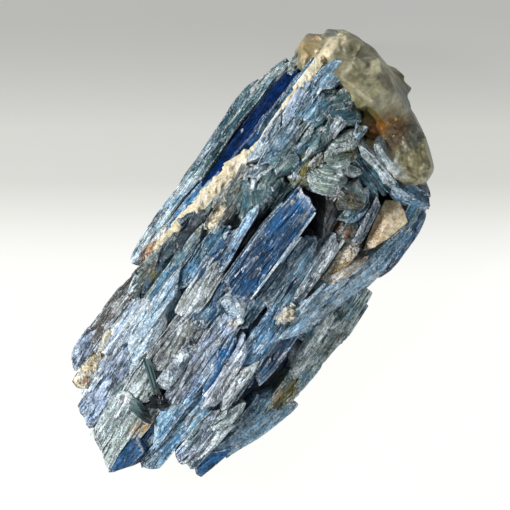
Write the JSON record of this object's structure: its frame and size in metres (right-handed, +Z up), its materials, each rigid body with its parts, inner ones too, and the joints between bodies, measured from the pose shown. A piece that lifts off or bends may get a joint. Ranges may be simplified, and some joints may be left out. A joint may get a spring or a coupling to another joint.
{
  "type": "kyanite blade cluster",
  "caption": "Natural mineral specimen: a long bundle of blue bladed crystals with a lower sheaf behind a cream vein, capped at one end by a grey-olive quartz lump; lies on its flat back.",
  "frame": {"origin": "under the middle of the specimen's bounding box, on the plane that its flat back rests on", "axes": "+X along the blades towards the quartz head, +Y across them towards the back sheaf, +Z up out of the flat back"},
  "size_m": [0.1202, 0.0552, 0.0365],
  "materials": {
    "kyanite_blue": "vitreous to pearly blades, striated along their length",
    "kyanite_navy": "smooth vitreous face with striated edges",
    "quartz_olive_grey": "translucent vitreous facets with rust stains",
    "vein_cream": "opaque, granular, dull",
    "quartz_tan": "glassy, stained tan to peach",
    "dark_green_crystal": "dull vitreous",
    "grey_green_crystal": "dull vitreous with a black lump at its foot"
  },
  "bodies": {
    "root": {"kyanite_bundle": "kyanite_blue", "kyanite_back_sheaf": "kyanite_navy", "quartz_head": "quartz_olive_grey", "cream_vein": "vein_cream", "quartz_wedge": "quartz_tan", "dark_prism_broad": "dark_green_crystal", "dark_prism_slender": "grey_green_crystal"}
  },
  "joints": []
}
